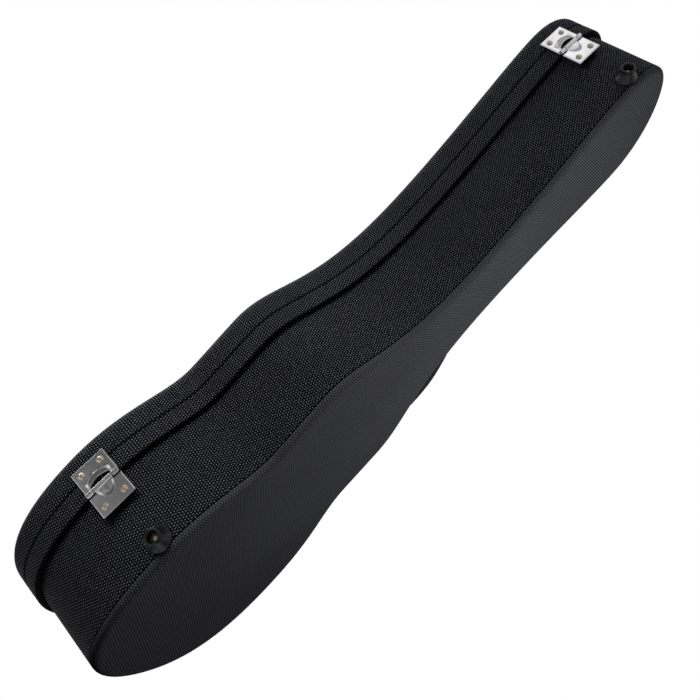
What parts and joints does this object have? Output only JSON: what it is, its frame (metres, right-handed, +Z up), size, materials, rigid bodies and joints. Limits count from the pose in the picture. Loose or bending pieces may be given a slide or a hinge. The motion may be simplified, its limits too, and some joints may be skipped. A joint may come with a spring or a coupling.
{
  "type": "ukulele case",
  "caption": "Hard ukulele case with a hinged padded lid, stop hinges, draw latches, carrying handle, side feet, lining, neck cradle and lidded compartment.",
  "frame": {"origin": "middle of the back panel's flat underside, on which the closed case lies", "axes": "+X towards the tail (the wide end), +Y towards the hinges and feet, +Z up from the back panel to the lid"},
  "size_m": [0.6588, 0.2529, 0.102],
  "materials": {
    "covered_ply": "plywood covered in black woven nylon",
    "back_cover": "plywood covered in dark charcoal ribbed nylon",
    "woven_nylon": "black woven nylon over padding",
    "bare_ply": "stained plywood",
    "plush": "short plush over foam",
    "board": "board covered in short plush",
    "cloth": "woven tape",
    "chrome": "bright plated steel sheet",
    "steel": "plated steel",
    "rivet": "nickel-plated brass, slightly warm",
    "brass": "brass",
    "rubber": "black moulded rubber",
    "black_plastic": "black moulded plastic"
  },
  "bodies": {
    "body": {"back_panel": "back_cover", "body_hoop": "covered_ply", "compartment_end_wall": "plush", "compartment_ledge_cradle": "board", "compartment_ledge_end_wall": "board", "floor_lining": "plush", "foot_head": "rubber", "foot_screw_head": "brass", "foot_screw_tail": "brass", "foot_tail": "rubber", "handle_bracket_head": "steel", "handle_bracket_tail": "steel", "hinge_body_leaf_head": "chrome", "hinge_body_leaf_tail": "chrome", "hinge_body_rivet_head_1": "rivet", "hinge_body_rivet_head_2": "rivet", "hinge_body_rivet_tail_1": "rivet", "hinge_body_rivet_tail_2": "rivet", "hinge_pin_head": "steel", "hinge_pin_tail": "steel", "hinge_spacer_head": "black_plastic", "hinge_spacer_tail": "black_plastic", "latch_base_head": "chrome", "latch_base_tail": "chrome", "latch_base_waist": "chrome", "latch_pin_head": "steel", "latch_pin_tail": "steel", "latch_pin_waist": "steel", "neck_cradle": "plush", "side_lining": "plush"},
    "lid": {"hinge_lid_leaf_head": "chrome", "hinge_lid_leaf_tail": "chrome", "hinge_lid_rivet_head_1": "rivet", "hinge_lid_rivet_head_2": "rivet", "hinge_lid_rivet_tail_1": "rivet", "hinge_lid_rivet_tail_2": "rivet", "latch_keeper_head": "chrome", "latch_keeper_tail": "chrome", "latch_keeper_waist": "chrome", "lid_board": "bare_ply", "lid_cover": "woven_nylon", "lid_hoop": "bare_ply", "lid_lining": "plush", "valance": "woven_nylon"},
    "handle": {"handle_grip": "black_plastic", "handle_rod": "steel"},
    "compartment_door": {"compartment_cloth_hinge": "cloth", "compartment_lid": "board", "compartment_pull_tab": "cloth"},
    "latch_lever_tail": {"latch_lever_tail": "chrome"},
    "latch_lever_waist": {"latch_lever_waist": "chrome"},
    "latch_lever_head": {"latch_lever_head": "chrome"},
    "latch_bail_tail": {"latch_bail_tail": "steel"},
    "latch_bail_waist": {"latch_bail_waist": "steel"},
    "latch_bail_head": {"latch_bail_head": "steel"}
  },
  "joints": [
    {"name": "lid_hinge", "type": "hinge", "parent": "body", "child": "lid", "pos_m": [0.21134, 0.12141, 0.066], "axis": [-0.9928, -0.1194, 0], "range_deg": [0, 100]},
    {"name": "compartment_hinge", "type": "hinge", "parent": "body", "child": "compartment_door", "pos_m": [-0.113, 0.0245, 0.038], "axis": [-1, 0, 0], "range_deg": [0, 90]},
    {"name": "handle_swing", "type": "hinge", "parent": "body", "child": "handle", "pos_m": [-0.00212, -0.06846, 0.036], "axis": [-0.9231, 0.3846, 0], "range_deg": [-15, 128]},
    {"name": "latch_lever_tail_turn", "type": "hinge", "parent": "body", "child": "latch_lever_tail", "pos_m": [0.21157, -0.1204, 0.054], "axis": [-0.9974, 0.0725, 0], "range_deg": [0, 115]},
    {"name": "latch_bail_tail_turn", "type": "hinge", "parent": "latch_lever_tail", "child": "latch_bail_tail", "pos_m": [0.21157, -0.1204, 0.046], "axis": [-0.9974, 0.0725, 0], "range_deg": [-104, 0]},
    {"name": "latch_lever_waist_turn", "type": "hinge", "parent": "body", "child": "latch_lever_waist", "pos_m": [0.09528, -0.09376, 0.054], "axis": [-0.9989, -0.0466, 0], "range_deg": [0, 115]},
    {"name": "latch_bail_waist_turn", "type": "hinge", "parent": "latch_lever_waist", "child": "latch_bail_waist", "pos_m": [0.09528, -0.09376, 0.046], "axis": [-0.9989, -0.0466, 0], "range_deg": [-104, 0]},
    {"name": "latch_lever_head_turn", "type": "hinge", "parent": "body", "child": "latch_lever_head", "pos_m": [-0.2755, -0.06207, 0.054], "axis": [-0.9966, 0.082, 0], "range_deg": [0, 115]},
    {"name": "latch_bail_head_turn", "type": "hinge", "parent": "latch_lever_head", "child": "latch_bail_head", "pos_m": [-0.2755, -0.06207, 0.046], "axis": [-0.9966, 0.082, 0], "range_deg": [-104, 0]}
  ],
  "couplings": [
    {"joint": "latch_bail_tail_turn", "follows": "latch_lever_tail_turn", "ratio": -0.9},
    {"joint": "latch_bail_waist_turn", "follows": "latch_lever_waist_turn", "ratio": -0.9},
    {"joint": "latch_bail_head_turn", "follows": "latch_lever_head_turn", "ratio": -0.9}
  ]
}
